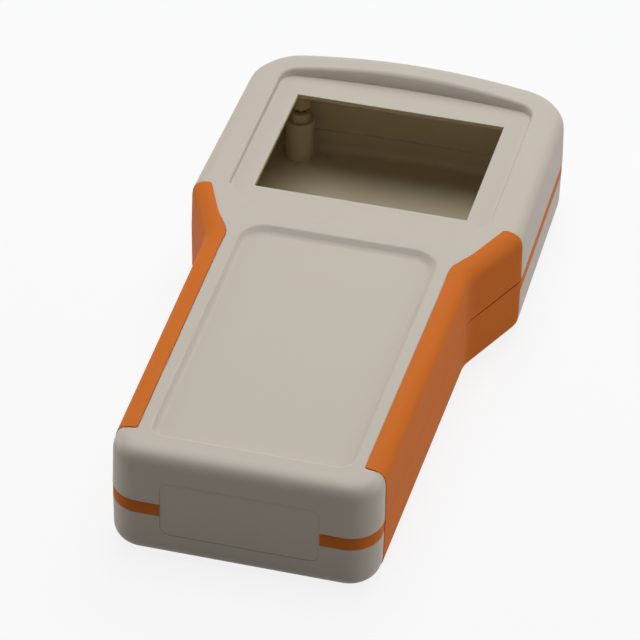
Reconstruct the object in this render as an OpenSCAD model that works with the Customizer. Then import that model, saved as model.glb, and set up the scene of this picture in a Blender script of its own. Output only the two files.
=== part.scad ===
// Handheld instrument enclosure: two moulded half shells with soft side grips,
// a soft band along the parting line, a display window and a removable end panel.
// Millimetres. It lies on its back: +Z is up out of the front face, +Y points to the head.

/* [Overall] */
// Length from the flat bottom end to the crest of the head
body_l = 205.5; // [195:0.5:225]
// Thickness from the back to the flat part of the front face
body_t = 34.7; // [32:0.1:40]
// Half width of the handle at the bottom end
end_half_w = 37.6; // [35:0.1:39]
// Half width of the handle at the neck
neck_half_w = 39.3; // [38:0.1:42]
// Half width of the head at its shoulders
head_half_w = 49.9; // [48:0.1:54]
// Half width of the head at its far corners
crest_half_w = 49; // [47:0.1:52]

/* [Outline] */
// Distance from the bottom end to the neck
neck_y = 103.5; // [100:0.5:110]
// Distance from the bottom end to the shoulders
shoulder_y = 128; // [126:0.5:132]
// Radius of the bottom corners
end_r = 9; // [8.5:0.5:10]
// Radius of the hollow at the neck
neck_r = 16; // [8:0.5:20]
// Radius of the shoulders
shoulder_r = 9; // [8.5:0.5:12]
// Radius of the head's far corners
crest_corner_r = 15; // [10:0.5:16]
// Slope of the arched head end where it meets the corners, in degrees
crest_slope = 5.2; // [3:0.1:6]
// Radius of the arched head end
crest_r = 350; // [250:5:370]
// Height of the crown in the middle of the head end above the front face
crown_h = 2.7; // [0.5:0.1:3.5]

/* [Walls and parting line] */
// Radius along the front edge
front_edge_r = 5.4; // [4:0.1:5.6]
// Radius along the back edge
back_edge_r = 5.8; // [5:0.1:7]
// Inward lean of each side wall over its height
draft_in = 0.3; // [0:0.1:0.5]
// Thickness of the side walls
wall = 3; // [2.8:0.1:3.2]
// Thickness of the floor
floor_t = 2.5; // [2:0.1:3]
// Height of the lower shell's rim, where the soft band sits
band_z = 14.5; // [13:0.1:16]
// Height of the soft band
band_h = 3.9; // [3:0.1:5]
// Height of the tongue above the band
tongue_h = 1.5; // [1:0.1:2]

/* [Window and recesses] */
// Width of the display window
window_w = 63.9; // [50:0.1:66]
// Length of the display window
window_l = 50.3; // [40:0.1:54]
// Distance from the crest of the head to the middle of the window
window_back = 48.25; // [47.5:0.05:49]
// Depth of the recess round the window and of the keypad recess
recess_depth = 1.2; // [0.6:0.1:1.4]
// Thickness left under the recess round the window
window_t = 1.7; // [1.6:0.1:2.4]
// Half width of the recess round the window
recess_half_w = 39.3; // [37:0.1:40]
// Distance from the bottom end to the lower edge of the recess round the window
recess_y0 = 118.7; // [116:0.1:122]
// Half width of that lower edge
recess_low_half_w = 26.4; // [20:0.1:30]
// Distance from the bottom end to where the sides of that recess start
recess_side_y = 129.8; // [126:0.1:131]
// Distance from the crest of the head to the far edge of that recess's floor
recess_back = 11.5; // [10:0.1:14]
// Run of the sloping wall at that far edge
recess_run = 1.8; // [0.5:0.1:3]
// Half width of the keypad recess at its bottom edge
keypad_half_w = 27.9; // [24:0.1:29]
// Distance from the bottom end to the keypad recess
keypad_y0 = 9.6; // [8:0.1:14]
// Distance from the bottom end to the top of the keypad recess
keypad_y1 = 112.3; // [100:0.1:114]

/* [Grips] */
// Depth of the pocket that a grip lies in
grip_depth = 1; // [0.8:0.05:1.1]
// Height of a grip above the shell
grip_proud = 0.4; // [0.2:0.05:0.5]
// Distance from the outline to a grip's edge on the front face
grip_inset = 6.3; // [6:0.1:8]
// Distance from the bottom end to the grips
grip_y0 = 11.9; // [11:0.1:20]
// How far the lower grips wrap round the back edge, in degrees
grip_wrap = 62; // [40:1:64]
// Width of the groove between the upper and lower grips
grip_groove = 0.5; // [0.2:0.1:0.8]

/* [End panel] */
// Width of the end panel
panel_w = 44.3; // [36:0.1:46]
// Height of the end panel
panel_h = 17.4; // [14:0.1:18]
// Height of the middle of the end panel above the back
panel_z = 17.3; // [16:0.1:18]
// Corner radius of the end panel
panel_r = 2.6; // [1:0.1:4]
// Gap round the end panel
panel_gap = 0.2; // [0.1:0.05:0.3]

/* [Posts and screws] */
// Distance from the middle plane to the head's screw posts
head_post_x = 34.2; // [30:0.1:36]
// Distance from the crest of the head to the head's screw posts
head_post_back = 10.4; // [10:0.1:14]
// Distance from the middle plane to the handle's screw posts
end_post_x = 29; // [26:0.1:30]
// Distance from the bottom end to the handle's screw posts
end_post_y = 17; // [15:0.1:24]
// Diameter of the lower posts
post_d = 8.7; // [7.6:0.1:9]
// Diameter of the upper posts and of the lower posts' tips
post_tip_d = 6; // [5:0.1:6.4]
// Bore for the screw head
screw_head_bore = 5.8; // [5.6:0.1:6]
// Diameter of the screw head
screw_head_d = 5.5; // [5:0.1:5.5]
// Diameter of the screw
screw_d = 2.9; // [2.5:0.1:3]

/* [Hidden] */

IVORY = [0.77, 0.73, 0.66];
ORANGE = [0.84, 0.38, 0.12];
STEEL = [0.55, 0.55, 0.56];

band_top = band_z + band_h;
tongue_top = band_top + tongue_h;
tongue_t = 0.95;
tongue_in = wall - tongue_t;
slack = 0.05;
ceiling_z = body_t - recess_depth - window_t;
inner_edge_r = 3;
floor_edge_r = 3.2;
ledge_z = 9;
ledge_t = 0.8;
side_front_z = body_t - front_edge_r;
arc_steps = 6;
crown_half_w = 45;
crown_run = 62;
lid_cols = 8;
reach = 2;
root = 1;
$fn = 48;

// Each corner is [x, y, radius, steps], going up the right side
crest_y = body_l + crest_r * (1 / cos(crest_slope) - 1);
right_corners = [
    [end_half_w, 0, end_r, 8],
    [neck_half_w, neck_y, neck_r, 5],
    [head_half_w, shoulder_y, shoulder_r, 6],
    [crest_half_w, crest_y - crest_half_w * tan(crest_slope), crest_corner_r, 8]];
body_corners = symmetric(right_corners, [0, crest_y, crest_r, 10]);

function xy(c) = [c[0], c[1]];
function mirrored(corners) =
    [for (i = [len(corners) - 1:-1:0]) [-corners[i][0], corners[i][1], corners[i][2], corners[i][3]]];
function symmetric(right, crest) = concat(right, [crest], mirrored(right));
function unit(v) = v / norm(v);
function last(list) = list[len(list) - 1];
function reversed(list) = [for (i = [len(list) - 1:-1:0]) list[i]];

// Outward normal of the edge that leaves corner i of a counter-clockwise outline
function edge_normal(c, i) =
    let(along = unit(xy(c[(i + 1) % len(c)]) - xy(c[i])))
    [along[1], -along[0]];

function half_circle_turn(a) = a > 180 ? a - 360 : a < -180 ? a + 360 : a;

// A rounded corner as a list of stations, each a point and its outward normal
function corner_stations(c, i) =
    let(before = edge_normal(c, (i + len(c) - 1) % len(c)),
        after = edge_normal(c, i),
        start = atan2(before[1], before[0]),
        turn = half_circle_turn(atan2(after[1], after[0]) - start),
        r = sign(turn) * c[i][2],
        centre = xy(c[i]) - r * (before + after) / (1 + before * after))
    [for (k = [0:c[i][3]])
        let(a = start + turn * k / c[i][3], normal = [cos(a), sin(a)])
        [centre + r * normal, normal]];

function outline(c) = [for (i = [0:len(c) - 1]) each corner_stations(c, i)];

// A station's point moved inwards by inset, at height z
function inward(s, inset, z) = [s[0][0] - inset * s[1][0], s[0][1] - inset * s[1][1], z];
function ring(stations, inset, z) = [for (s = stations) inward(s, inset, z)];

// Height of the crown over the front face: highest across the middle of the head end
function ease(u) = let(t = max(0, min(1, u))) t * t * (3 - 2 * t);
function lift(x, y) =
    crown_h * max(0, 1 - pow(x / crown_half_w, 2)) * ease((y - shoulder_y) / crown_run);
function lifted(p, share) = [p[0], p[1], p[2] + share * lift(p[0], p[1])];

// Faces across a ring of m points, from each point to the one opposite
function ladder(m) = [for (i = [0:ceil(m / 2) - 2])
    i + 1 == m - 2 - i ? [i, i + 1, m - 1 - i] : [i, i + 1, m - 2 - i, m - 1 - i]];
function sides(m, count) = [for (j = [0:count - 2]) for (i = [0:m - 1])
    let(a = j * m + i, b = j * m + (i + 1) % m)
    [a, a + m, b + m, b]];
function raised(faces, by) = [for (f = faces) [for (v = f) v + by]];

// A solid through rings of equal length, closed at both ends by ladders of faces
module loft(rings) {
    m = len(rings[0]);
    lid = [for (f = raised(ladder(m), (len(rings) - 1) * m)) reversed(f)];
    polyhedron([for (r = rings) each r], concat(ladder(m), sides(m, len(rings)), lid), convexity = 8);
}

// The same, with a crowned lid: each rung across the last ring has points of its own
module crowned_loft(rings) {
    m = len(rings[0]);
    top = (len(rings) - 1) * m;
    crest = (m - 1) / 2;
    edge = last(rings);
    inner = [for (i = [1:crest - 1]) for (j = [1:lid_cols - 1])
        let(x = edge[i][0] * (1 - 2 * j / lid_cols), y = edge[i][1])
        lifted([x, y, body_t], 1)];
    first = len(rings) * m;
    function rung(i) = concat([top + i],
        [for (j = [0:lid_cols - 2]) first + (i - 1) * (lid_cols - 1) + j],
        [top + m - 1 - i]);
    start = concat([[top, top + m - 1, last(rung(1))]],
        [let(b = rung(1)) for (j = [0:lid_cols - 1]) [top, b[j + 1], b[j]]]);
    lid = [for (i = [1:crest - 2]) let(a = rung(i), b = rung(i + 1)) for (j = [0:lid_cols - 1])
        each [[a[j], a[j + 1], b[j + 1]], [a[j], b[j + 1], b[j]]]];
    tip = [let(a = rung(crest - 1)) for (j = [0:lid_cols - 1]) [a[j], a[j + 1], top + crest]];
    points = concat([for (r = rings) each r], inner);
    polyhedron(points, concat(ladder(m), sides(m, len(rings)), start, lid, tip), convexity = 8);
}

// Quarter round from the side (0 degrees) to the face (limit), as [inset, height] pairs
function edge_arc(centre, r, rise, limit = 90) =
    [for (k = [0:arc_steps])
        let(a = limit * k / arc_steps)
        [centre[0] - r * cos(a), centre[1] + rise * r * sin(a)]];

front_centre = [front_edge_r + draft_in, side_front_z];
back_centre = [back_edge_r + draft_in, back_edge_r];
body = outline(body_corners);

// Section of each shell as [inset, height] pairs
upper_inside = concat(
    reversed(edge_arc([wall + inner_edge_r, ceiling_z - inner_edge_r], inner_edge_r, 1)),
    [[wall, tongue_top + slack * 2], [tongue_in - slack, tongue_top + slack * 2],
     [tongue_in - slack, band_top], [0, band_top]]);
upper_outside = edge_arc(front_centre, front_edge_r, 1);
floor_centre = [wall + ledge_t + floor_edge_r, floor_t + floor_edge_r];
lower_section = concat(
    reversed(edge_arc(back_centre, back_edge_r, -1)),
    [[0, band_z], [tongue_in, band_z], [tongue_in, tongue_top], [wall, tongue_top],
     [wall, ledge_z + slack], [wall + ledge_t, ledge_z]],
    edge_arc(floor_centre, floor_edge_r, -1));

module lower_body() {
    loft([for (p = lower_section) ring(body, p[0], p[1])]);
}

module upper_body() {
    inside = [for (p = upper_inside) ring(body, p[0], p[1])];
    outside = [for (p = upper_outside)
        let(share = (p[1] - side_front_z) / front_edge_r)
        [for (q = ring(body, p[0], p[1])) lifted(q, share)]];
    crowned_loft(concat(inside, outside));
}

// Stations along the right side that a grip covers, from the shoulder to the bottom end
shoulder = corner_stations(body_corners, 2);
neck = corner_stations(body_corners, 1);
end_corner = last(corner_stations(body_corners, 0));
grip_part = (grip_y0 - end_corner[0][1]) / (neck[0][0][1] - end_corner[0][1]);
grip_start = [end_corner[0] + grip_part * (neck[0][0] - end_corner[0]), end_corner[1]];
grip_path = reversed(concat([grip_start], neck, [for (k = [0:3]) shoulder[k]]));

// Section of an upper grip, outside first, with the same number of points inside
function upper_grip_section(depth, proud, edge) = concat(
    [[-proud, band_top + grip_groove / 2]],
    edge_arc(front_centre, front_edge_r + proud, 1),
    [[edge, body_t + proud / 3], [edge, body_t - depth]],
    reversed(edge_arc(front_centre, front_edge_r - depth, 1)),
    [[depth, band_top + grip_groove / 2]]);

// Section of the pocket below the band, and of the lower grip with its lip over the band
function lower_pocket_section(depth, proud) = concat(
    reversed(edge_arc(back_centre, back_edge_r + proud, -1, grip_wrap)),
    [[-proud, band_z], [depth, band_z]],
    edge_arc(back_centre, back_edge_r - depth, -1, grip_wrap));
function lower_grip_section(depth, proud) = concat(
    reversed(edge_arc(back_centre, back_edge_r + proud, -1, grip_wrap)),
    [[-proud, band_z - depth], [-proud, band_z], [-proud, band_top - grip_groove / 2],
     [0, band_top - grip_groove / 2], [0, band_z], [depth, band_z]],
    edge_arc(back_centre, back_edge_r - depth, -1, grip_wrap));

module along_grip(section) {
    loft([for (s = grip_path) [for (p = section) inward(s, p[0], p[1])]]);
}

module upper_grip_pocket() {
    along_grip(upper_grip_section(grip_depth, reach, grip_inset));
}

module lower_grip_pocket() {
    along_grip(lower_pocket_section(grip_depth, reach));
}

module both_sides() {
    children();
    mirror([1, 0, 0]) children();
}

// A recess cutter: the floor outline opens into the rim outline, rise above it, and goes on up
module recess(floor_corners, rim_corners, rise) {
    floor_z = body_t - recess_depth;
    low = [for (s = outline(floor_corners)) [s[0][0], s[0][1], floor_z]];
    high = [for (s = outline(rim_corners)) [s[0][0], s[0][1], floor_z + rise]];
    loft([low, high, [for (p = high) [p[0], p[1], body_t + crown_h + reach]]]);
}

keypad_slope = 2.2;
keypad_lean = 0.6;
keypad_widen = 1;
keypad_low_r = 4;
keypad_top_r = 8;
wall_draft = 0.3;
keypad_rim = [
    [keypad_half_w, keypad_y0, keypad_low_r, 6],
    [keypad_half_w + keypad_widen, keypad_y1, keypad_top_r, 6]];
keypad_floor = [
    [keypad_half_w - keypad_lean, keypad_y0 + keypad_lean, keypad_low_r - keypad_lean, 6],
    [keypad_half_w + keypad_widen - keypad_lean, keypad_y1 - keypad_slope,
        keypad_top_r - keypad_slope / 2, 6]];
recess_slope = 5.6;
recess_r = 345;
recess_crest = body_l - recess_back + recess_r * (1 / cos(recess_slope) - 1);
recess_corner_y = recess_crest - recess_half_w * tan(recess_slope);
recess_corner_r = 5;
recess_low_r = 4;
recess_rise = recess_depth + crown_h;
recess_rim = [
    [recess_low_half_w, recess_y0, recess_low_r, 4],
    [recess_half_w, recess_side_y, recess_low_r, 4],
    [recess_half_w, recess_corner_y + recess_run, recess_corner_r, 6]];
recess_floor = [
    [recess_low_half_w - wall_draft, recess_y0 + wall_draft, recess_low_r, 4],
    [recess_half_w - wall_draft, recess_side_y + wall_draft, recess_low_r, 4],
    [recess_half_w - wall_draft, recess_corner_y, recess_corner_r, 6]];

module keypad_cut() {
    recess(concat(keypad_floor, mirrored(keypad_floor)), concat(keypad_rim, mirrored(keypad_rim)),
        recess_depth);
}

module head_cut() {
    recess(symmetric(recess_floor, [0, recess_crest, recess_r, 10]),
        symmetric(recess_rim, [0, recess_crest + recess_run, recess_r, 10]), recess_rise);
}

module window_cut() {
    translate([-window_w / 2, body_l - window_back - window_l / 2, ceiling_z - reach])
        cube([window_w, window_l, body_t]);
}

// A rounded plate standing in the end wall, from y0 to y1
module end_plate(w, h, r, y0, y1) {
    translate([0, y1, panel_z])
        rotate([90, 0, 0])
            linear_extrude(y1 - y0) {
                square([w - 2 * r, h], center = true);
                square([w, h - 2 * r], center = true);
                for (sx = [-1, 1]) for (sz = [-1, 1])
                    translate([sx * (w / 2 - r), sz * (h / 2 - r)])
                        circle(r);
            }
}

panel_lip = 1.8;
flange_t = 1.4;
flange_y = wall + slack;

module panel_opening() {
    end_plate(panel_w + 2 * panel_gap, panel_h + 2 * panel_gap, panel_r + panel_gap,
        -reach, wall + flange_t / 2);
    flange_w = panel_w + 2 * panel_lip + 2 * panel_gap;
    flange_h = panel_h + 2 * panel_lip + 2 * panel_gap;
    translate([-flange_w / 2, wall - slack / 2, panel_z - flange_h / 2])
        cube([flange_w, flange_t + 2 * panel_gap, flange_h]);
}

// Ribs that hold the panel's flange from behind
rib_w = 4;
rib_x = panel_w / 2 - rib_w;
rib_t = 1.6;
rib_gap = 6;
rib_y = flange_y + flange_t + slack;

module rib(z0, z1) {
    for (sx = [-1, 1])
        translate([sx * rib_x - rib_w / 2, rib_y, z0])
            cube([rib_w, rib_t, z1 - z0]);
}

head_post_y = body_l - head_post_back;
posts = [[head_post_x, head_post_y], [end_post_x, end_post_y],
         [-head_post_x, head_post_y], [-end_post_x, end_post_y]];
post_shoulder_z = band_z + 1.6;
post_top_z = band_top + 0.6;
upper_post_z = band_top + 2.5;
screw_seat_z = 11.5;
screw_tip_z = 28;
screw_clear = 0.3;
pilot_end_z = 30;

module at_posts() {
    for (p = posts)
        translate([p[0], p[1], 0]) children();
}

module shift() {
    translate([0, -body_l / 2, 0]) children();
}

module upper_shell() {
    color(IVORY) shift() difference() {
        union() {
            difference() {
                upper_body();
                both_sides() upper_grip_pocket();
                keypad_cut();
                head_cut();
                window_cut();
                panel_opening();
            }
            at_posts() translate([0, 0, upper_post_z])
                cylinder(h = ceiling_z + root - upper_post_z, d = post_tip_d);
            rib(panel_z + rib_gap / 2, ceiling_z + root);
        }
        at_posts() translate([0, 0, upper_post_z - reach])
            cylinder(h = pilot_end_z - upper_post_z + reach, d = screw_d);
    }
}

module lower_shell() {
    color(IVORY) shift() difference() {
        union() {
            difference() {
                lower_body();
                both_sides() lower_grip_pocket();
                panel_opening();
            }
            at_posts() translate([0, 0, root])
                cylinder(h = post_shoulder_z - root, d = post_d);
            at_posts() translate([0, 0, root])
                cylinder(h = post_top_z - root, d = post_tip_d);
            rib(root, panel_z - rib_gap / 2);
        }
        at_posts() translate([0, 0, -reach])
            cylinder(h = screw_seat_z + reach, d = screw_head_bore);
        at_posts() translate([0, 0, -reach])
            cylinder(h = post_top_z + 2 * reach, d = screw_d + screw_clear);
    }
}

band_section = [[slack, band_z], [slack, band_top],
                [tongue_in - slack, band_top], [tongue_in - slack, band_z]];
band_end_x = panel_w / 2 + panel_gap + slack;
band_path = reversed(concat([[[band_end_x, 0], [0, -1]]], body, [[[-band_end_x, 0], [0, -1]]]));

module seal_band() {
    color(ORANGE) shift()
        loft([for (s = band_path) [for (p = band_section) inward(s, p[0], p[1])]]);
}

module upper_grip() {
    color(ORANGE) shift()
        along_grip(upper_grip_section(grip_depth - slack, grip_proud, grip_inset - slack));
}

module lower_grip() {
    color(ORANGE) shift()
        along_grip(lower_grip_section(grip_depth - slack, grip_proud));
}

module upper_grip_right() { upper_grip(); }
module upper_grip_left() { mirror([1, 0, 0]) upper_grip(); }
module lower_grip_right() { lower_grip(); }
module lower_grip_left() { mirror([1, 0, 0]) lower_grip(); }

module end_panel() {
    color(IVORY) shift() {
        end_plate(panel_w, panel_h, panel_r, 2 * slack, flange_y + 2 * slack);
        translate([-panel_w / 2 - panel_lip, flange_y, panel_z - panel_h / 2 - panel_lip])
            cube([panel_w + 2 * panel_lip, flange_t, panel_h + 2 * panel_lip]);
    }
}

screw_head_h = 2.2;
cross_w = 0.9;
cross_l = 3.2;
cross_depth = 1.2;

module screw() {
    difference() {
        union() {
            translate([0, 0, screw_seat_z - screw_head_h])
                cylinder(h = screw_head_h, d = screw_head_d);
            translate([0, 0, screw_seat_z - root])
                cylinder(h = screw_tip_z - screw_seat_z + root, d = screw_d - 2 * slack);
        }
        for (turn = [0, 90])
            rotate([0, 0, turn])
                translate([-cross_l / 2, -cross_w / 2, screw_seat_z - screw_head_h - reach])
                    cube([cross_l, cross_w, cross_depth + reach]);
    }
}

module case_screws() {
    color(STEEL) shift() at_posts() screw();
}

upper_shell();
lower_shell();
seal_band();
upper_grip_left();
upper_grip_right();
lower_grip_left();
lower_grip_right();
end_panel();
case_screws();
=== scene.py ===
# %% [markdown]
# # Handheld enclosure
# An empty instrument case lies on its back: two ivory half shells, an orange soft band between them, orange soft
# grips on the handle, a plain panel in the bottom end and four screws in the back. The frame gives the exact
# solids, and this lesson rebuilds the visible pieces with rounder edges.

# %% Load the frame
import math
import bmesh
import bpy
from mathutils import Matrix, Vector


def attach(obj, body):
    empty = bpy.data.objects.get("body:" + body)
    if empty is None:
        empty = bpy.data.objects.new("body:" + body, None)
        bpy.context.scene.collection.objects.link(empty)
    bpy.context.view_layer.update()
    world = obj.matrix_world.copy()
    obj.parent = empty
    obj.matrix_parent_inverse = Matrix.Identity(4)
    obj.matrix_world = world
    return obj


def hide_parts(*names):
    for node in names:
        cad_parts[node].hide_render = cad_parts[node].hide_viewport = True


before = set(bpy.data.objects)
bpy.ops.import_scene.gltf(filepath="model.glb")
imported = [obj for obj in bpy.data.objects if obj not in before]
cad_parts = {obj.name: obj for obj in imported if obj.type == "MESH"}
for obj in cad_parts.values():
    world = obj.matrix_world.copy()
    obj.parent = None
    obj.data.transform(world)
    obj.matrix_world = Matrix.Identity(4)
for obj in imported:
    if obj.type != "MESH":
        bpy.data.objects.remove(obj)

for name in ("Cube", "Light", "Camera"):
    if name in bpy.data.objects:
        bpy.data.objects.remove(bpy.data.objects[name], do_unlink=True)

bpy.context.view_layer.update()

# %% [markdown]
# ## Working in millimetres
# Edit-mode tools such as bevel work best on sizes near one, and the roundings here are a fraction of a
# millimetre. One Blender unit stands for a millimetre while a piece is drawn. The finished piece is then shrunk a
# thousand times and that scale is applied, so its object ends at the origin, unscaled, like the solids.

# %% Helpers for selecting and finishing
LONG = 205.5
NEAR = 0.01
STRAY = 0.02


def pick(piece, kind, test):
    """Selects the vertices, edges or faces of a piece in edit mode that pass the test, and counts them."""
    bpy.ops.mesh.select_mode(type=kind)
    bpy.ops.mesh.select_all(action="DESELECT")
    mesh = bmesh.from_edit_mesh(piece.data)
    found = [p for p in {"VERT": mesh.verts, "EDGE": mesh.edges, "FACE": mesh.faces}[kind] if test(p)]
    for part in found:
        part.select_set(True)
    bmesh.update_edit_mesh(piece.data)
    return len(found)


def only(piece):
    """Makes a piece the one that is selected and active."""
    bpy.ops.object.select_all(action="DESELECT")
    bpy.context.view_layer.objects.active = piece
    piece.select_set(True)


def edit(piece):
    only(piece)
    bpy.ops.object.mode_set(mode="EDIT")


def leave():
    bpy.ops.object.mode_set(mode="OBJECT")


def everything():
    bpy.ops.mesh.select_all(action="SELECT")


def merge(distance):
    """Merges the points of the piece in edit mode that lie closer together than a distance."""
    everything()
    bpy.ops.mesh.remove_doubles(threshold=distance)


def face_outwards():
    everything()
    bpy.ops.mesh.normals_make_consistent(inside=False)


def push(x=0.0, y=0.0, z=0.0):
    bpy.ops.mesh.extrude_region_move(TRANSFORM_OT_translate={"value": (x, y, z)})


def apply_modifier(piece, kind, **settings):
    only(piece)
    step = piece.modifiers.new(kind.lower(), kind)
    for name, value in settings.items():
        setattr(step, name, value)
    bpy.ops.object.modifier_apply(modifier=step.name)


def combine(piece, tool, how, keep=False):
    """Joins a piece with a tool piece or cuts it by one, and merges stray points. The tool goes unless it is kept."""
    apply_modifier(piece, "BOOLEAN", object=tool, operation=how, solver="EXACT")
    edit(piece)
    merge(STRAY)
    leave()
    if not keep:
        bpy.data.objects.remove(tool, do_unlink=True)


def twin(piece, name):
    """A copy with a mesh of its own."""
    copy = piece.copy()
    copy.data = piece.data.copy()
    copy.name = name
    bpy.context.collection.objects.link(copy)
    return copy


def opposite(piece, name):
    """A copy on the other side of the middle plane."""
    copy = twin(piece, name)
    edit(copy)
    everything()
    bpy.ops.transform.resize(value=(-1, 1, 1), center_override=(0, 0, 0))
    bpy.ops.mesh.flip_normals()
    leave()
    return copy


# %% [markdown]
# ## The outline
# Seen from the front the case is a handle that flares into a wide head with a gently arched end. It could be
# traced as a curve, but a polygon with rounded corners keeps each corner's radius as one number. One vertex is
# extruded along each straight, spun round each corner's centre, and the closed loop is filled. A vertex bevel
# would be quicker, but on a shallow corner its arc is tight at both ends, and the rounded edges would fold there
# later.

# %% Draw a rounded outline
def begin(name):
    """A new mesh of one vertex at the origin, in edit mode."""
    bpy.ops.object.select_all(action="DESELECT")
    bpy.ops.mesh.primitive_plane_add(size=1)
    piece = bpy.context.object
    piece.name = name
    bpy.ops.object.mode_set(mode="EDIT")
    bpy.ops.mesh.select_mode(type="VERT")
    everything()
    bpy.ops.mesh.merge(type="CENTER")
    return piece


def outline_face(name, corners, z):
    """A face with rounded corners at height z. Each corner is x, y from the bottom end, radius and steps."""
    piece = begin(name)
    here = Vector((0, 0))
    for i, (x, y, radius, steps) in enumerate(corners):
        tip = Vector((x, y))
        back = (tip - Vector(corners[i - 1][:2])).normalized()
        ahead = (Vector(corners[(i + 1) % len(corners)][:2]) - tip).normalized()
        turn = math.atan2(back.cross(ahead), back.dot(ahead))
        side = math.copysign(radius, turn)
        start = tip - back * radius * math.tan(abs(turn) / 2)
        step = start - here
        if i == 0:
            bpy.ops.transform.translate(value=(step.x, step.y, 0))
        else:
            push(step.x, step.y)
        bpy.ops.mesh.spin(steps=steps, angle=-turn, axis=(0, 0, 1),
                          center=(start.x - side * back.y, start.y + side * back.x, 0))
        here = tip + ahead * radius * math.tan(abs(turn) / 2)
    everything()
    bpy.ops.mesh.edge_face_add()
    bpy.ops.transform.translate(value=(0, -LONG / 2, z))
    return piece


def both_sides(right, middle=()):
    """The corners of the right side, any in the middle, and the same on the left."""
    return right + list(middle) + [(-x, y, radius, steps) for x, y, radius, steps in reversed(right)]


def arched_end(half, top, radius, degrees):
    """For an arched end: the x and y of its outer corner, and the y where its two slopes meet above the top."""
    slope = math.radians(degrees)
    tip = top + radius * (1 / math.cos(slope) - 1)
    return half, tip - half * math.tan(slope), tip


HEAD_Y, CREST_RADIUS = 128, 350
end_x, end_y, crest = arched_end(49, LONG, CREST_RADIUS, 5.2)
CASE = both_sides([(37.6, 0, 9, 14), (39.3, 103.5, 16, 6), (49.9, HEAD_Y, 9, 5), (end_x, end_y, 15, 16)],
                  [(0, crest, CREST_RADIUS, 20)])
print("outline corners:", len(CASE), "crest corner at", round(crest, 2))

# %% [markdown]
# ## The front blank
# Both the front shell and its grips follow one skin, so that skin is made once. The outline is pulled up to the
# front face, leant in a little as a moulding must be, and its front edge is rounded with an edge bevel. A narrow
# inset marks where the grips end on the front face.

# %% Raise the front blank
BAND_Z, BAND_TOP, THICK = 14.5, 18.4, 34.7
DRAFT = (0.9935, 0.997, 1)
FRONT_ROUND, SQUARENESS, GRIP_MARGIN = 5.4, 0.61, 0.6
front_blank = outline_face("front_blank", CASE, BAND_TOP)
push(z=THICK - BAND_TOP)
bpy.ops.transform.resize(value=DRAFT, center_override=(0, 0, 0))
face_outwards()
pick(front_blank, "EDGE", lambda e: all(v.co.z > THICK - 0.1 for v in e.verts))
bpy.ops.mesh.bevel(offset=FRONT_ROUND, segments=12, profile=SQUARENESS, affect="EDGES", clamp_overlap=False)
pick(front_blank, "FACE", lambda f: f.normal.z > 0.99)
bpy.ops.mesh.inset(thickness=GRIP_MARGIN, use_even_offset=True)
print("front blank:", len(bmesh.from_edit_mesh(front_blank.data).faces), "faces")

# %% [markdown]
# The front face isn't quite flat: towards the head end it rises into a low crown. A single big face can't bend,
# so the head's part of it is bisected into a grid first, and its points are then lifted along a smooth hump.
# Proportional editing could lift it too, but a formula keeps the hump as wide as the solid's.

# %% Crown the head end
CROWN, CROWN_HALF, CROWN_RUN = 2.7, 45, 62
GRID_Y, GRID_X = range(134, 190, 6), range(-42, 43, 7)


def ease(share):
    """A smooth step from 0 to 1."""
    share = min(1.0, max(0.0, share))
    return share * share * (3 - 2 * share)


def lift(x, y):
    """How far the crown rises at a spot, with y from the bottom end."""
    return CROWN * max(0.0, 1 - (x / CROWN_HALF) ** 2) * ease((y - HEAD_Y) / CROWN_RUN)


def slice_top(spot, normal):
    pick(front_blank, "FACE", lambda f: f.normal.z > 0.99 and f.calc_center_median().y > 15)
    bpy.ops.mesh.bisect(plane_co=spot, plane_no=normal)


pick(front_blank, "FACE", lambda f: f.normal.z > 0.99)
bpy.ops.mesh.bisect(plane_co=(0, 115.5 - LONG / 2, THICK), plane_no=(0, 1, 0))
for y in GRID_Y:
    slice_top((0, y - LONG / 2, THICK), (0, 1, 0))
for x in GRID_X:
    slice_top((x, 0, THICK), (1, 0, 0))
merge(0.1)
mesh = bmesh.from_edit_mesh(front_blank.data)
for v in mesh.verts:
    share = (v.co.z - (THICK - FRONT_ROUND)) / FRONT_ROUND
    if share > 0:
        v.co.z += min(share, 1) * lift(v.co.x, v.co.y + LONG / 2)
bmesh.update_edit_mesh(front_blank.data)
leave()
print("crown rises to", round(max(v.co.z for v in front_blank.data.vertices), 2), "mm")

# %% [markdown]
# ## The back blank
# The rear shell has the same outline. Its blank hangs from the tongue's top down to the back, with a slightly
# smaller rounding. It is drawn the same way and pushed down instead of up.

# %% Lower the back blank
TONGUE_TOP, BACK_ROUND = 19.9, 5
back_blank = outline_face("back_blank", CASE, TONGUE_TOP)
push(z=-TONGUE_TOP)
bpy.ops.transform.resize(value=DRAFT, center_override=(0, 0, 0))
face_outwards()
pick(back_blank, "EDGE", lambda e: all(v.co.z < 0.1 for v in e.verts))
bpy.ops.mesh.bevel(offset=BACK_ROUND, segments=10, profile=0.5, affect="EDGES", clamp_overlap=False)
leave()
print("back blank:", len(back_blank.data.polygons), "faces")

# %% [markdown]
# ## The soft grips
# A soft orange skin is moulded over the handle's sides and the flared wings, a little proud of the hard shell. It
# could be lofted on its own, but taking the blank's own side faces makes it fit everywhere. All other faces are
# deleted, the strip is bisected to length, Solidify gives it thickness, and its edges are rounded. Before that
# its edge on the front face is drawn in, most at the neck, and the edges at the parting line are drawn together
# along the handle, because on the real case the line opens only at the wings.

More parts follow.
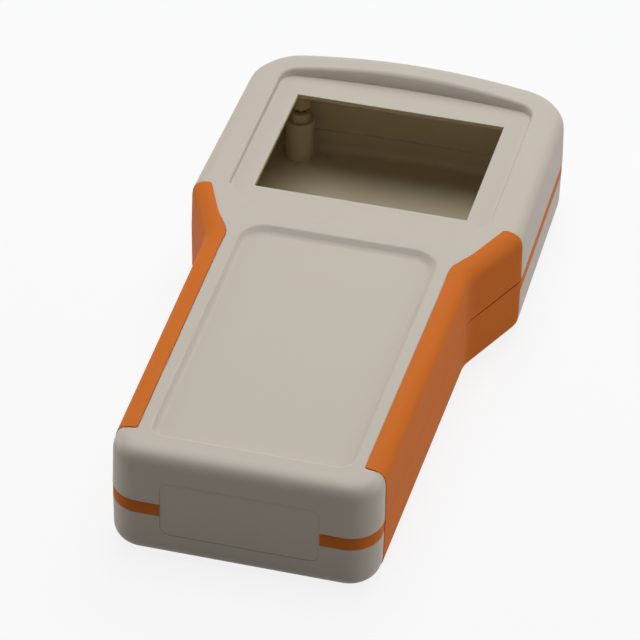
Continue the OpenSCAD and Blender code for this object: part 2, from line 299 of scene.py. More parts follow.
# %% Skin the grips from the blanks
PROUD, SUNK, PARTING = 0.2, 1.0, 0.25
END_SKEW, EDGE_IN, NECK_IN, CLOSER = 0.16, 0.4, 0.75, 0.17
NECK_CUTS = (96, 98.5, 108.5, 110, 111.5, 113, 115, 118)
start_spot = Vector((38, 10.9 - LONG / 2, 0))
before = (Vector(CASE[2][:2]) - Vector(CASE[1][:2])).normalized()
after = (Vector(CASE[3][:2]) - Vector(CASE[2][:2])).normalized()
across = (before + after).normalized()
end_way = (across + END_SKEW * Vector((-across.y, across.x))).normalized()
end_spot = Vector((49.7, 128.05 - LONG / 2, 0))


def corner_cuts(spot, way_out, way_in, radius, inset):
    """Planes that round the corner between the strip's end and its edge on the front face.
    Each is a point and the way out."""
    centre = spot.xy + Matrix((way_out, way_in)).inverted() @ Vector((-radius, inset - radius))
    ways = [(way_out * (1 - share) + way_in * share).normalized() for share in (0.12, 0.31, 0.5, 0.69, 0.88)]
    return [((*(centre + way * radius), 0), (way.x, way.y, 0)) for way in ways]


def widen(y):
    """How far the strip's edge on the front face is moved in: evenly on the handle, more at the neck."""
    return EDGE_IN * ease((115 - y) / 10) + NECK_IN * math.exp(-((y - 107.3) / 4.6) ** 2)


def close_up(y):
    """How far the edges at the parting line are moved together: open on the wing, thin on the handle."""
    return CLOSER * min(1.0, max(0.0, (110 - y) / 8))


def skin_grip(name, blank, low, high, keep, extra=()):
    """A strip of the blank's right side between two heights, trimmed to the grip's length and thickened."""
    grip = twin(blank, name)
    edit(grip)
    pick(grip, "FACE", lambda f: not keep(f) or f.calc_center_median().x < 0)
    bpy.ops.mesh.delete(type="FACE")
    for spot, way in (((0, 0, low), (0, 0, -1)), ((0, 0, high), (0, 0, 1)),
                      (start_spot, (0, -1, 0)), (end_spot, (end_way.x, end_way.y, 0)), *extra):
        everything()
        bpy.ops.mesh.bisect(plane_co=spot, plane_no=way, clear_outer=True)
    for y in NECK_CUTS:
        everything()
        bpy.ops.mesh.bisect(plane_co=(0, y - LONG / 2, 0), plane_no=(0, 1, 0))
    merge(0.1)
    mesh = bmesh.from_edit_mesh(grip.data)
    for v in mesh.verts:
        y = v.co.y + LONG / 2
        if v.is_boundary and v.co.z > THICK - 0.02:
            v.co.x -= widen(y)
        if abs(v.co.z - low) < NEAR:
            v.co.z -= close_up(y)
        if abs(v.co.z - high) < NEAR:
            v.co.z += close_up(y)
    bmesh.update_edit_mesh(grip.data)
    leave()
    thick = PROUD + SUNK
    apply_modifier(grip, "SOLIDIFY", thickness=thick, offset=(PROUD - SUNK) / thick, use_even_offset=True)
    print(name, "strip:", len(grip.data.polygons), "faces")
    return grip


def beside_fillet(face):
    """The narrow inset strip that runs along the rounded front edge."""
    return face.normal.z > 0.985 and face.calc_area() < 0.4 * face.calc_perimeter()


round_ends = (corner_cuts(end_spot, end_way, Vector((-before.y, before.x)), 2.6, 6.1)
              + corner_cuts(start_spot, Vector((0, -1)), Vector((-1, 0)), 2, 6.45))
front_grip = skin_grip("upper_grip_right_skin", front_blank, BAND_TOP + PARTING, 50,
                       lambda f: abs(f.normal.z) < 0.985 or beside_fillet(f), round_ends)
back_grip = skin_grip("lower_grip_right_skin", back_blank, -1, BAND_TOP - PARTING,
                      lambda f: -0.9 < f.normal.z < 0.5)

# %% [markdown]
# ## Cutting tools for the shells
# The recesses, the window and the end opening are cut with solid tools, as a mould maker would sink them. Each
# recess tool starts as its rim. An inset pushed down gives the floor with a wall that leans all round, and the
# far edge of the floor is pulled back, because the wall leans most there. The head's far wall gets a belly: it is
# steeper at its foot, so it darkens towards the floor as the real one does.

# %% Shape the recess tools
HEAD_FLOOR, KEYPAD_FLOOR = 33.5, 33.1
LOOP_UP, LOOP_SHARE = 1.4, 0.38
RECESS_RADIUS = 345


def recess_tool(name, corners, floor, rim, lean, far_lean, belly=0):
    """A tool between two heights whose walls lean in by lean, or by far_lean at the far side.
    With a belly the far wall is steeper at its foot than at its rim."""
    tool = outline_face(name, corners, rim)
    bpy.ops.mesh.inset(thickness=lean, use_even_offset=True)
    bpy.ops.transform.translate(value=(0, 0, floor - rim))
    middle = sum(c[1] for c in corners) / len(corners) - LONG / 2
    pick(tool, "VERT", lambda v: v.co.z < floor + NEAR and v.co.y > middle)
    bpy.ops.transform.translate(value=(0, lean - far_lean, 0))
    if belly:
        everything()
        bpy.ops.mesh.bisect(plane_co=(0, 0, floor + LOOP_UP), plane_no=(0, 0, 1))
        mesh = bmesh.from_edit_mesh(tool.data)
        for v in mesh.verts:
            if abs(v.co.z - floor - LOOP_UP) < NEAR:
                v.co.y -= belly if v.co.y > middle else 0
                v.co.z = floor + LOOP_SHARE * (THICK - floor + lift(v.co.x, v.co.y + LONG / 2))
        bmesh.update_edit_mesh(tool.data)
    pick(tool, "EDGE", lambda e: e.is_boundary)
    push(z=4)
    bpy.ops.mesh.edge_face_add()
    face_outwards()
    leave()
    return tool


KEYPAD = both_sides([(28.2, 9.6, 4, 8), (29.2, 112.3, 8, 12)])
rim_x, rim_y, rim_crest = arched_end(39.3, 195.8, RECESS_RADIUS, 5.6)
HEAD = both_sides([(26.4, 118.7, 4, 6), (rim_x, 129.8, 4, 6), (rim_x, rim_y, 5, 10)],
                  [(0, rim_crest, RECESS_RADIUS, 20)])
keypad_tool = recess_tool("keypad_tool", KEYPAD, KEYPAD_FLOOR, THICK, lean=1.3, far_lean=2.4)
head_tool = recess_tool("head_tool", HEAD, HEAD_FLOOR, THICK + CROWN, lean=0.4, far_lean=2.0, belly=0.4)
for tool in (keypad_tool, head_tool):
    print(tool.name, [round(v, 1) for v in tool.dimensions])

# %% [markdown]
# The window and the slots are plain blocks, and so is the plate that fills the end opening, with its four short
# edges rounded by a bevel. The opening's tool and the panel itself are both made from that plate.

# %% Blocks and the end plate
PANEL_WIDE, PANEL_TALL, PANEL_RADIUS, PANEL_Z = 44.7, 17.8, 2.8, 17.3
WINDOW_HALF, WINDOW_LOW, WINDOW_HIGH = 31.95, 132.1, 182.4


def block(name, low, high):
    """A box between two corners, in millimetres with y from the bottom end."""
    bpy.ops.object.select_all(action="DESELECT")
    bpy.ops.mesh.primitive_cube_add(size=1)
    piece = bpy.context.object
    piece.name = name
    size = [b - a for a, b in zip(low, high)]
    spot = [(a + b) / 2 for a, b in zip(low, high)]
    bpy.ops.object.mode_set(mode="EDIT")
    bpy.ops.transform.resize(value=size, center_override=(0, 0, 0))
    bpy.ops.transform.translate(value=(spot[0], spot[1] - LONG / 2, spot[2]))
    leave()
    return piece


def end_plate(name, wide, tall, radius, y0, y1):
    """A plate with rounded corners that stands in the end wall from y0 to y1."""
    across, up = wide / 2, tall / 2
    plate = block(name, (-across, y0, PANEL_Z - up), (across, y1, PANEL_Z + up))
    edit(plate)
    pick(plate, "EDGE", lambda e: abs(e.verts[0].co.y - e.verts[1].co.y) > 0.1)
    bpy.ops.mesh.bevel(offset=radius, segments=8, profile=0.5, affect="EDGES")
    leave()
    return plate


end_tool = end_plate("end_tool", PANEL_WIDE, PANEL_TALL, PANEL_RADIUS, -2, 3.7)
combine(end_tool, block("flange_slot", (-24.15, 2.97, 6.6), (24.15, 4.8, 28)), "UNION")
window_tool = block("window_tool", (-WINDOW_HALF, WINDOW_LOW, 28), (WINDOW_HALF, WINDOW_HIGH, 40))
print("end opening:", [round(v, 1) for v in end_tool.dimensions])

# %% [markdown]
# ## Screw posts
# Each corner has a post on both shells, and a screw from the back clamps them together. A post is a cylinder
# whose end face is inset and pushed: outwards for the thinner tip, inwards for the bore. One is modelled and
# copied.

# %% Turn the posts and bores
POSTS = [(side * x, y) for side in (1, -1) for x, y in ((34.2, 195.1), (29, 17))]


def turned(name, radius, low, high, steps):
    """A cylinder from low to high. Each step insets one end face and pushes it: (end, inset, push)."""
    bpy.ops.object.select_all(action="DESELECT")
    bpy.ops.mesh.primitive_cylinder_add(vertices=64, radius=radius, depth=high - low,
                                        location=(0, 0, (low + high) / 2))
    piece = bpy.context.object
    piece.name = name
    bpy.ops.object.transform_apply(location=True)
    edit(piece)
    for end, inward, way in steps:
        ends = sorted({round(f.calc_center_median().z, 3) for f in bmesh.from_edit_mesh(piece.data).faces
                       if len(f.verts) > 4})
        level = ends[-1] if end == "top" else ends[0]
        pick(piece, "FACE", lambda f: len(f.verts) > 4 and abs(f.calc_center_median().z - level) < NEAR)
        bpy.ops.mesh.inset(thickness=inward)
        push(z=way)
    leave()
    return piece


def at_posts(piece, name):
    """Four copies of a turned piece, one at each post, joined into one tool."""
    copies = []
    for x, y in POSTS:
        copy = twin(piece, name)
        edit(copy)
        everything()
        bpy.ops.transform.translate(value=(x, y - LONG / 2, 0))
        leave()
        copies.append(copy)
    bpy.data.objects.remove(piece, do_unlink=True)
    bpy.ops.object.select_all(action="DESELECT")
    for copy in copies:
        copy.select_set(True)
    bpy.context.view_layer.objects.active = copies[0]
    bpy.ops.object.join()
    return copies[0]


upper_posts = at_posts(turned("upper_post", 3, 20.9, 32.6, [("bottom", 1.55, 9.1)]), "upper_posts")
lower_posts = at_posts(turned("lower_post", 4.35, 1, 16.1, [("top", 1.35, 2.9)]), "lower_posts")
post_bores = at_posts(turned("post_bore", 2.9, -2, 11.5, [("top", 1.3, 10)]), "post_bores")
print("posts:", len(upper_posts.data.polygons), len(lower_posts.data.polygons), "faces")

# %% [markdown]
# ## Rings along the outline
# The band, its seat and the tongue's slot are all rings that follow the outline. The outline face is inset twice,
# what lies outside and inside the ring is deleted, and the ring that is left is pushed up.

# %% Rings
BAND_DEEP = 2.0


def outline_ring(name, outer, inner, low, high):
    """A ring between two insets of the outline and two heights."""
    ring = outline_face(name, CASE, low)
    if outer > 0:
        bpy.ops.mesh.inset(thickness=outer, use_even_offset=True)
        pick(ring, "FACE", lambda f: len(f.verts) == 4)
        bpy.ops.mesh.delete(type="FACE")
        everything()
    bpy.ops.mesh.inset(thickness=inner - outer, use_even_offset=True)
    pick(ring, "FACE", lambda f: len(f.verts) > 4)
    bpy.ops.mesh.delete(type="FACE")
    everything()
    push(z=high - low)
    face_outwards()
    leave()
    return ring


seal_band = outline_ring("seal_band_ring", 0.08, BAND_DEEP, BAND_Z, BAND_TOP)
tongue_slot = outline_ring("tongue_slot", BAND_DEEP, 3.2, BAND_TOP - 1, TONGUE_TOP + 0.1)
band_seat = outline_ring("band_seat", 0, BAND_DEEP + 0.05, BAND_Z, TONGUE_TOP + 1)
print("band ring:", len(seal_band.data.polygons), "faces")

# %% [markdown]
# ## The front shell
# The front shell is a thin moulding. Solidify could give the blank its wall, but the crown would then show inside
# too, and tight corners would fold. So a cavity tool, with the outline set in by the wall and a rounded edge,
# hollows the blank. The other tools cut it after that, and the grips cut their own seats. The rear grip, raised a
# little, also clears the groove along the parting line. A cut face takes the material slot of the tool that made
# it, so the tools of the inside use the second slot, and the untextured inside can get a colour of its own, with
# painted light and shade. Last the left half is thrown away and the right one mirrored, so both sides are the same.

# %% Hollow and cut the front shell
WALL, CEILING, GROOVE_UP = 3, 31.8, 0.55


def two_slots(piece, slot=0):
    """Two material slots, empty for now, with every face in one of them."""
    for _ in range(2):
        piece.data.materials.append(None)
    for face in piece.data.polygons:
        face.material_index = slot
    return piece


def level(edge, z):
    """Whether an edge lies at height z."""
    return all(abs(v.co.z - z) < NEAR for v in edge.verts)


def rib(name, low, high):
    """A rib behind the end panel between two heights, for the right half."""
    return two_slots(block(name, (16.15, 4.5, low), (20.15, 6.1, high)), 1)


def cavity(name, inset, low, high, radius):
    """A tool for the inside: the outline set in by a wall, from low to a rounded end at high, above or below."""
    tool = outline_face(name, CASE, low)
    bpy.ops.mesh.inset(thickness=inset, use_even_offset=True)
    pick(tool, "FACE", lambda f: len(f.verts) == 4)
    bpy.ops.mesh.delete(type="FACE")
    everything()
    push(z=high - low)
    face_outwards()
    if radius:
        pick(tool, "EDGE", lambda e: level(e, high))
        bpy.ops.mesh.bevel(offset=radius, segments=6, profile=0.5, affect="EDGES", clamp_overlap=False)
    leave()
    return two_slots(tool, 1)


def mirror_right_half(piece):
    """Throws the left half away and mirrors the right one in its place."""
    edit(piece)
    everything()
    bpy.ops.mesh.bisect(plane_co=(0, 0, 0), plane_no=(1, 0, 0), clear_inner=True, threshold=0.001)
    leave()
    apply_modifier(piece, "MIRROR", merge_threshold=0.005)


front_shell = two_slots(twin(front_blank, "upper_shell_moulding"))
combine(front_shell, cavity("front_cavity", WALL, BAND_TOP - 2, CEILING, 3), "DIFFERENCE")
combine(front_shell, two_slots(upper_posts, 1), "UNION")
for tool in (keypad_tool, head_tool, two_slots(window_tool, 1), two_slots(tongue_slot, 1)):
    combine(front_shell, tool, "DIFFERENCE")
combine(front_shell, end_tool, "DIFFERENCE", keep=True)
combine(front_shell, rib("upper_rib", 20.3, 32.3), "UNION")
groove = twin(back_grip, "groove")
edit(groove)
everything()
bpy.ops.transform.translate(value=(0, 0, GROOVE_UP))
leave()
combine(front_shell, groove, "DIFFERENCE", keep=True)
combine(front_shell, front_grip, "DIFFERENCE", keep=True)
mirror_right_half(front_shell)
print("front shell:", len(front_shell.data.polygons), "faces")

# %% [markdown]
# ## The rear shell
# The rear shell is hollowed with two cavity tools: a deep one to the floor, and one set in less that stops higher
# up, so that a low ledge runs round the inside. The rim is cut back outside for the soft band, which leaves the
# tongue standing. The posts go in before their bores are drilled from the back. A rib on each side holds the end
# panel.

# %% Hollow and cut the rear shell
FLOOR_Z, LEDGE_Z = 2.5, 9
back_shell = two_slots(twin(back_blank, "lower_shell_moulding"))
combine(back_shell, cavity("floor_cavity", 3.8, TONGUE_TOP + 2, FLOOR_Z, 3.2), "DIFFERENCE")
combine(back_shell, cavity("wall_cavity", WALL, TONGUE_TOP + 2, LEDGE_Z, 0), "DIFFERENCE")
combine(back_shell, two_slots(lower_posts, 1), "UNION")
combine(back_shell, post_bores, "DIFFERENCE")
combine(back_shell, band_seat, "DIFFERENCE")
combine(back_shell, end_tool, "DIFFERENCE", keep=True)
combine(back_shell, rib("lower_rib", 1.5, 14.3), "UNION")
combine(back_shell, back_grip, "DIFFERENCE", keep=True)
mirror_right_half(back_shell)
print("rear shell:", len(back_shell.data.polygons), "faces")

# %% [markdown]
# The band gives way to the grips and to the end panel, so the same tools cut it. The panel is the plate of its
# opening with a hair of play, joined to a flange that the slots behind the end wall hold.

# %% Trim the band
combine(seal_band, groove, "DIFFERENCE")
combine(seal_band, back_grip, "DIFFERENCE", keep=True)
combine(seal_band, end_tool, "DIFFERENCE")
mirror_right_half(seal_band)
print("band cut to", len(seal_band.data.polygons), "faces")

# %% End panel
PLAY = 0.02
end_panel = end_plate("end_panel_plate", PANEL_WIDE - 2 * PLAY, PANEL_TALL - 2 * PLAY, PANEL_RADIUS - PLAY,
                      0.32, 3.15)
combine(end_panel, block("flange", (-23.95, 3.05, 6.8), (23.95, 4.45, 27.8)), "UNION")
for blank in (front_blank, back_blank):
    bpy.data.objects.remove(blank, do_unlink=True)
print("end panel:", [round(v, 1) for v in end_panel.dimensions])

# %% [markdown]
# ## Rounding the moulded edges
# No moulded edge is truly sharp, and the light that runs along a rim is what makes plastic look like plastic. A
# Bevel modifier would round all edges alike. Here each kind of edge has its own radius, so the edges are picked
# by their place and beveled in edit mode. The window's lower inner edge gets a flat chamfer instead.

# %% Round the front shell's edges
KEYPAD_SPAN, HEAD_SPAN = (9, 114), (118, 199)


def sharp(edge, degrees=15):
    return edge.is_manifold and edge.calc_face_angle() > math.radians(degrees)


def middle(edge):
    """The middle of an edge, with y from the bottom end."""
    spot = (edge.verts[0].co + edge.verts[1].co) / 2
    return Vector((spot.x, spot.y + LONG / 2, spot.z))


def on_window(edge):
    """Whether an edge lies on the four walls of the window."""
    centre, half = (WINDOW_LOW + WINDOW_HIGH - LONG) / 2, (WINDOW_HIGH - WINDOW_LOW) / 2
    return all(abs(max(abs(v.co.x) - WINDOW_HALF, abs(v.co.y - centre) - half)) < STRAY for v in edge.verts)


def on_rim(edge, low, high):
    """Whether a sharp edge is part of a recess's rim on the front face."""
    spot = middle(edge)
    near = abs(spot.x) < 40.5 and low < spot.y < high and spot.z > THICK - 0.3
    return near and sharp(edge) and not on_window(edge)


def at_foot(edge, low, high):
    """Whether a sharp edge is where the keypad recess's wall meets its floor."""
    return level(edge, KEYPAD_FLOOR) and low < middle(edge).y < high and sharp(edge) and not on_window(edge)


def outside_at(edge, z):
    """An outer edge of a shell at height z: one of its faces is a wall that looks away from the middle."""
    spot = middle(edge)
    away = Vector((spot.x, spot.y - 100))
    outer = any(abs(f.normal.z) < 0.2 and f.normal.xy.dot(away) > 0 for f in edge.link_faces)
    return level(edge, z) and sharp(edge) and outer


def at_end(edge):
    """Whether a sharp edge lies on the bottom end, round the panel's opening."""
    return middle(edge).y < 0.3 and sharp(edge, 40)


def soften(piece, test, radius, steps, clamp=True):
    """Rounds the edges that pass the test, and counts them."""
    count = pick(piece, "EDGE", test)
    bpy.ops.mesh.bevel(offset=radius, segments=steps, profile=0.5, affect="EDGES", clamp_overlap=clamp)
    return count


edit(front_shell)
counts = [soften(front_shell, lambda e: on_rim(e, *KEYPAD_SPAN), 0.4, 5, clamp=False),
          soften(front_shell, lambda e: at_foot(e, *KEYPAD_SPAN), 1.0, 6, clamp=False),
          soften(front_shell, lambda e: on_window(e) and sharp(e) and middle(e).z > HEAD_FLOOR - 0.2, 0.2, 2),
          soften(front_shell, lambda e: on_window(e) and sharp(e) and middle(e).z < CEILING + 0.2, 1.0, 1),
          soften(front_shell, lambda e: outside_at(e, BAND_TOP), 0.3, 2, clamp=False),
          soften(front_shell, lambda e: at_end(e) and middle(e).z > BAND_TOP + 0.5, 0.1, 2, clamp=False)]
print("front shell edges rounded:", counts)

# %% [markdown]
# The rim of the recess round the window grows rounder where the wall behind it is higher. A bevel in edit mode
# has one width, but the Bevel modifier can read a weight from each edge, so each rim edge gets a weight by the
# crown's height.

# %% Round the head recess by weight
WIDEST, NARROWEST, GROWTH = 1.2, 0.5, 0.22
rim_count = pick(front_shell, "EDGE", lambda e: on_rim(e, *HEAD_SPAN))
mesh = bmesh.from_edit_mesh(front_shell.data)
weight = mesh.edges.layers.float.new("bevel_weight_edge")
for e in mesh.edges:
    if e.select:
        spot = middle(e)
        e[weight] = (NARROWEST + GROWTH * lift(spot.x, spot.y)) / WIDEST
bmesh.update_edit_mesh(front_shell.data)
leave()
apply_modifier(front_shell, "BEVEL", width=WIDEST, segments=6, limit_method="WEIGHT", use_clamp_overlap=False)
print("rim edges rounded by weight:", rim_count)

# %% [markdown]
# The rear shell and the band are rounded in the same way. A point that a cut left on a straight edge is dissolved
# first, since it would only give thin triangles. The panel's outer face is drawn out inside a margin, which
# leaves a shallow chamfer round it, as a moulded plate has.

# %% Round the rear shell's, band's and panel's edges
STRAIGHT = math.radians(177)
MARGIN, DRAWN_OUT = 1.3, 0.3


def spare(vert):
    """A point that a cut left on a straight edge, where no other edge meets it."""
    if len(vert.link_edges) != 2:
        return False
    one, two = (edge.other_vert(vert).co - vert.co for edge in vert.link_edges)
    return one.angle(two) > STRAIGHT


edit(back_shell)
pick(back_shell, "VERT", spare)
bpy.ops.mesh.dissolve_verts()
counts = [soften(back_shell, lambda e: outside_at(e, BAND_Z), 0.25, 2, clamp=False),
          soften(back_shell, lambda e: level(e, LEDGE_Z) and sharp(e), 0.35, 3),
          soften(back_shell, lambda e: level(e, 0) and sharp(e, 40), 0.3, 2),
          soften(back_shell, lambda e: at_end(e) and middle(e).z < BAND_Z - 0.5, 0.1, 2, clamp=False)]
leave()
edit(seal_band)
counts += [soften(seal_band, lambda e: outside_at(e, BAND_TOP), 0.35, 2, clamp=False),
           soften(seal_band, lambda e: outside_at(e, BAND_Z), 0.2, 2, clamp=False)]
leave()
edit(end_panel)
counts.append(pick(end_panel, "FACE", lambda f: f.calc_center_median().y + LONG / 2 < 0.33))
bpy.ops.mesh.inset(thickness=MARGIN)
bpy.ops.transform.translate(value=(0, -DRAWN_OUT, 0))
leave()
print("other edges rounded:", counts)

# %% [markdown]
# The grips are rounded last, by a Bevel modifier that takes every edge over an angle, because all edges of the
# soft skin are alike. Until now they were sharp, so the seats that they cut in the shells fit them closely.

# %% Round the grips and copy them to the left
GRIP_EDGE = 0.19
for grip in (front_grip, back_grip):
    apply_modifier(grip, "BEVEL", width=GRIP_EDGE, segments=3, limit_method="ANGLE", angle_limit=math.radians(40))
front_grip_left = opposite(front_grip, "upper_grip_left_skin")
back_grip_left = opposite(back_grip, "lower_grip_left_skin")
print("grips:", [len(g.data.polygons) for g in (front_grip, front_grip_left, back_grip, back_grip_left)])

# %% [markdown]
# ## Shading and shrinking
# Big flat faces next to narrow roundings shade best when the flat face decides the normals, so each piece is
# shaded smooth up to an angle and a Weighted Normal modifier is applied. Points that the cuts and roundings left
# on one spot are merged before that, and the piece is shrunk to metres.

# %% Finish the pieces
SAME_SPOT, SMOOTH_UP_TO, TO_METRES = 0.002, 35, 0.001


def finish_piece(piece, node):
    """Cleans, shrinks and shades a piece, hides the solid that it stands in for, and hangs it on the root."""
    edit(piece)
    merge(SAME_SPOT)
    leave()
    only(piece)
    piece.scale = (TO_METRES,) * 3
    bpy.ops.object.transform_apply(location=True, rotation=True, scale=True)
    bpy.ops.object.shade_smooth_by_angle(angle=math.radians(SMOOTH_UP_TO))
    apply_modifier(piece, "WEIGHTED_NORMAL", keep_sharp=True, weight=80)
    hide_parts(node)
    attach(piece, "root")


SHELLS = [(front_shell, "upper_shell"), (back_shell, "lower_shell"), (end_panel, "end_panel")]
SOFT = [(seal_band, "seal_band"), (front_grip, "upper_grip_right"), (front_grip_left, "upper_grip_left"),
        (back_grip, "lower_grip_right"), (back_grip_left, "lower_grip_left")]
for piece, node in SHELLS:
    finish_piece(piece, node)
for piece, node in SOFT:
    finish_piece(piece, node)
print("pieces:", [p.name for p, _ in SHELLS + SOFT])

# %% [markdown]
# ## Materials
# Both plastics have a fine moulded grain. It is one node group with its own scale in each material: a noise gives
# the height for a bump and a soft mask that varies colour and roughness a little. The rear shell's inside has a
# lighter ivory, which is painted light, and the front shell's inside a darker, warmer one, which is painted shade,
# warmed as light that comes through thin plastic looks.

# %% The moulded grain group
def add(tree, kind, **settings):
    node = tree.nodes.new(kind)
    for name, value in settings.items():
        setattr(node, name, value)
    return node


grain = bpy.data.node_groups.new("moulded_grain", "ShaderNodeTree")
for name, start in (("Grain size", 2600.0), ("Cloud size", 35.0)):
    grain.interface.new_socket(name=name, in_out="INPUT", socket_type="NodeSocketFloat").default_value = start
for name in ("Height", "Cloud"):
    grain.interface.new_socket(name=name, in_out="OUTPUT", socket_type="NodeSocketFloat")
into = add(grain, "NodeGroupInput")
out = add(grain, "NodeGroupOutput")
spot = add(grain, "ShaderNodeTexCoord")
fine = add(grain, "ShaderNodeTexNoise")
fine.inputs["Detail"].default_value = 2.0
cloud = add(grain, "ShaderNodeTexNoise")
cloud.inputs["Detail"].default_value = 3.0
for noise, size, name in ((fine, "Grain size", "Height"), (cloud, "Cloud size", "Cloud")):
    grain.links.new(spot.outputs["Object"], noise.inputs["Vector"])
    grain.links.new(into.outputs[size], noise.inputs["Scale"])
    grain.links.new(noise.outputs["Fac"], out.inputs[name])
print("group:", grain.name, [i.name for i in grain.interface.items_tree])

# %% The plastics
def srgb(*levels):
    """A colour as it is seen on a screen, in the linear values that a shader takes."""
    return tuple(((c / 255 + 0.055) / 1.055) ** 2.4 for c in levels) + (1.0,)


def plastic(name, dark, light, rough, grain_size, depth):
    """A moulded plastic whose colour and roughness drift a little between two values, with a fine bumped grain."""
    material = bpy.data.materials.new(name)
    material.use_nodes = True
    tree = material.node_tree
    shader = tree.nodes["Principled BSDF"]
    surface = add(tree, "ShaderNodeGroup", node_tree=grain)
    surface.inputs["Grain size"].default_value = grain_size
    tint = add(tree, "ShaderNodeMix", data_type="RGBA")
    tint.inputs["A"].default_value = dark
    tint.inputs["B"].default_value = light
    dull = add(tree, "ShaderNodeMapRange")
    dull.inputs["To Min"].default_value = rough[0]
    dull.inputs["To Max"].default_value = rough[1]
    bump = add(tree, "ShaderNodeBump")
    bump.inputs["Strength"].default_value = 0.35
    bump.inputs["Distance"].default_value = depth
    tree.links.new(surface.outputs["Cloud"], tint.inputs["Factor"])
    tree.links.new(surface.outputs["Cloud"], dull.inputs["Value"])
    tree.links.new(surface.outputs["Height"], bump.inputs["Height"])
    tree.links.new(tint.outputs["Result"], shader.inputs["Base Color"])
    tree.links.new(dull.outputs["Result"], shader.inputs["Roughness"])
    tree.links.new(bump.outputs["Normal"], shader.inputs["Normal"])
    return material


ivory = plastic("ivory_shell", srgb(188, 178, 165), srgb(193, 184, 170), (0.5, 0.62), 2600, 0.00006)
# Painted light: the rear shell's inside is a lighter copy of the ivory, for the lit floor seen through the window.
inside = plastic("ivory_inside_painted_light", srgb(206, 192, 163), srgb(212, 199, 171), (0.55, 0.65), 1200, 0.00002)
# Painted shade: the front shell's inside is a darker, warmer copy of the ivory, for its shaded window walls.
painted_warm_shade = plastic("ivory_inside_front_painted_shade", srgb(196, 179, 140), srgb(202, 186, 148), (0.55, 0.65), 1200, 0.00002)
orange = plastic("orange_soft", srgb(205, 106, 28), srgb(212, 113, 32), (0.62, 0.74), 3200, 0.00005)
orange.node_tree.nodes["Principled BSDF"].inputs["Specular IOR Level"].default_value = 0.15
two_slots(end_panel)
# The second slot takes the inside's painted colour: painted shade on the front shell, painted light on the others.
for piece, _ in SHELLS:
    piece.data.materials[0] = ivory
    piece.data.materials[1] = painted_warm_shade if piece is front_shell else inside
for piece, _ in SOFT:
    piece.data.materials.clear()
    piece.data.materials.append(orange)
print("plastics:", [m.name for m in (ivory, inside, painted_warm_shade, orange)])

# %% [markdown]
# The screws are the solids' own. They only get a plated metal, with the same cloud at a finer scale to dull it.

# %% Zinc for the screws
zinc = bpy.data.materials.new("zinc_screw")
zinc.use_nodes = True
tree = zinc.node_tree
surface = add(tree, "ShaderNodeGroup", node_tree=grain)
surface.inputs["Cloud size"].default_value = 400
tint = add(tree, "ShaderNodeMix", data_type="RGBA")
tint.inputs["A"].default_value = srgb(150, 152, 156)
tint.inputs["B"].default_value = srgb(188, 190, 192)
tree.links.new(surface.outputs["Cloud"], tint.inputs["Factor"])
tree.links.new(tint.outputs["Result"], tree.nodes["Principled BSDF"].inputs["Base Color"])
tree.nodes["Principled BSDF"].inputs["Metallic"].default_value = 1.0
tree.nodes["Principled BSDF"].inputs["Roughness"].default_value = 0.35
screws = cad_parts["case_screws"]
screws.data.materials.clear()
screws.data.materials.append(zinc)
print("screws:", screws.name, "in", zinc.name)

# %% [markdown]
# ## Camera, light and floor
# The camera stands where the photograph was taken from, with a long lens. The light is plain and soft: a broad
# lamp overhead, one high behind the head, a weak low one on each side and a dim surround. With most light from
# above and behind, the end wall and the far walls of the recesses fall into soft shade. The surround and the
# floor are white to the camera and in reflections only, so they don't light the case more than the lamps do.

# %% Camera
DISTANCE, RIGHT_SHIFT, UP_SHIFT = 1157.75, -3.322, -5.037
SENSOR, FOCAL_PIXELS, WIDE_PIXELS = 36, 4023.4, 640
camera = bpy.data.objects.new("camera", bpy.data.cameras.new("camera"))
bpy.context.collection.objects.link(camera)
az, el, roll = math.radians(13.646), math.radians(36.693), math.radians(1.475)
back = Vector((math.sin(az) * math.cos(el), -math.cos(az) * math.cos(el), math.sin(el)))
right = (-back).cross(Vector((0, 0, 1))).normalized()
up = right.cross(-back)
right, up = math.cos(roll) * right + math.sin(roll) * up, math.cos(roll) * up - math.sin(roll) * right
target = Vector((0, 100 - LONG / 2, 20))
stand = target + RIGHT_SHIFT * right + UP_SHIFT * up + DISTANCE * back
turn = Matrix((right, up, back)).transposed().to_4x4()
camera.matrix_world = Matrix.Translation(stand / 1000) @ turn
camera.data.sensor_width = SENSOR
camera.data.lens = FOCAL_PIXELS / WIDE_PIXELS * SENSOR
camera.data.clip_start = 0.05
bpy.context.scene.camera = camera
print("camera at", [round(v, 4) for v in camera.location], "lens", round(camera.data.lens, 1))

# %% Surround and lamps
def seen_rays(tree):
    """A value that is 1 for what the camera sees, straight, mirrored or through glass, and 0 otherwise."""
    path = add(tree, "ShaderNodeLightPath")
    value = path.outputs["Is Camera Ray"]
    for ray in ("Is Glossy Ray", "Is Transmission Ray"):
        either = add(tree, "ShaderNodeMath", operation="MAXIMUM")
        tree.links.new(value, either.inputs[0])
        tree.links.new(path.outputs[ray], either.inputs[1])
        value = either.outputs[0]
    return value


scene = bpy.context.scene
scene.view_settings.view_transform = "Standard"
world = bpy.data.worlds.new("surround")
scene.world = world
world.use_nodes = True
tree = world.node_tree
tree.nodes.clear()
seen = add(tree, "ShaderNodeBackground")
seen.inputs["Color"].default_value = (1, 1, 1, 1)
seen.inputs["Strength"].default_value = 1.0
soft = add(tree, "ShaderNodeBackground")
soft.inputs["Color"].default_value = (0.93, 0.96, 1, 1)
soft.inputs["Strength"].default_value = 0.09
pick_one = add(tree, "ShaderNodeMixShader")
out = add(tree, "ShaderNodeOutputWorld")
tree.links.new(seen_rays(tree), pick_one.inputs["Fac"])
tree.links.new(soft.outputs[0], pick_one.inputs[1])
tree.links.new(seen.outputs[0], pick_one.inputs[2])
tree.links.new(pick_one.outputs[0], out.inputs["Surface"])


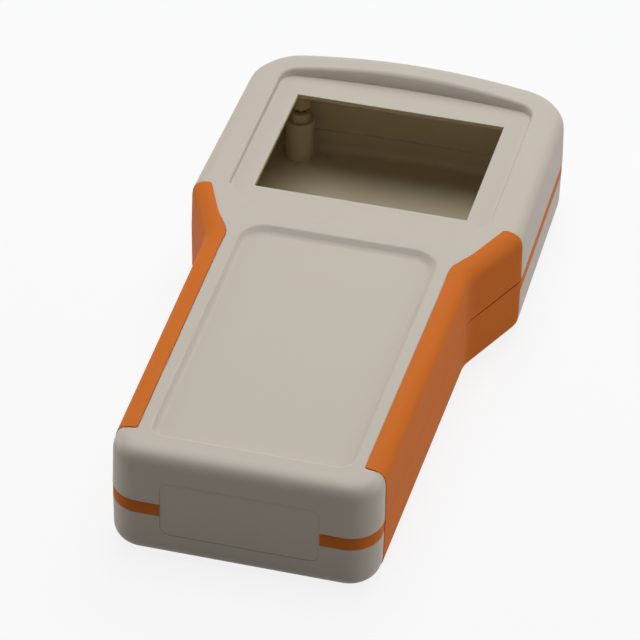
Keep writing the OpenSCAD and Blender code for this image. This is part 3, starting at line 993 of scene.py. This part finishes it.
def lamp(name, spot, size, power, colour):
    """A round soft lamp that looks at the case."""
    data = bpy.data.lights.new(name, "AREA")
    data.shape = "DISK"
    data.size = size
    data.energy = power
    data.color = colour
    light = bpy.data.objects.new(name, data)
    bpy.context.collection.objects.link(light)
    light.location = spot
    light.rotation_euler = (Vector((0, 0, 0.03)) - Vector(spot)).to_track_quat("-Z", "Y").to_euler()


lamp("overhead", (0, 0.1, 1.35), 1.0, 8.8, (0.98, 0.99, 1))
lamp("back", (0, 1.1, 1.1), 1.2, 9, (0.98, 0.99, 1))
lamp("right", (1.4, 0.3, 0.35), 0.8, 6.4, (0.94, 0.95, 1))
lamp("left", (-1.4, 0.3, 0.35), 0.8, 6.4, (0.97, 0.98, 1))

# %% [markdown]
# The floor is plain pale paper. Mixed with a white glow for the camera it stays nearly white, with a faint shadow
# under the case. For light that bounces off it, it is a duller, warmer grey.

# %% Floor
GLOW_SHARE = 0.85
bpy.ops.object.select_all(action="DESELECT")
bpy.ops.mesh.primitive_plane_add(size=6, location=(0, 0, -0.0002))
floor = bpy.context.object
floor.name = "floor"
paper = bpy.data.materials.new("paper")
paper.use_nodes = True
tree = paper.node_tree
tree.nodes.clear()
dull = add(tree, "ShaderNodeBsdfDiffuse")
glow = add(tree, "ShaderNodeEmission")
path = add(tree, "ShaderNodeLightPath")
shade = add(tree, "ShaderNodeMix", data_type="RGBA")
shade.inputs["A"].default_value = (0.8, 0.8, 0.8, 1)
shade.inputs["B"].default_value = (0.5, 0.48, 0.45, 1)
share = add(tree, "ShaderNodeMath", operation="MULTIPLY")
share.inputs[1].default_value = GLOW_SHARE
blend = add(tree, "ShaderNodeMixShader")
out = add(tree, "ShaderNodeOutputMaterial")
tree.links.new(path.outputs["Is Diffuse Ray"], shade.inputs["Factor"])
tree.links.new(shade.outputs["Result"], dull.inputs["Color"])
tree.links.new(seen_rays(tree), share.inputs[0])
tree.links.new(share.outputs[0], blend.inputs["Fac"])
tree.links.new(dull.outputs[0], blend.inputs[1])
tree.links.new(glow.outputs[0], blend.inputs[2])
tree.links.new(blend.outputs[0], out.inputs["Surface"])
floor.data.materials.append(paper)
print("floor:", [round(v, 1) for v in floor.dimensions], "m")
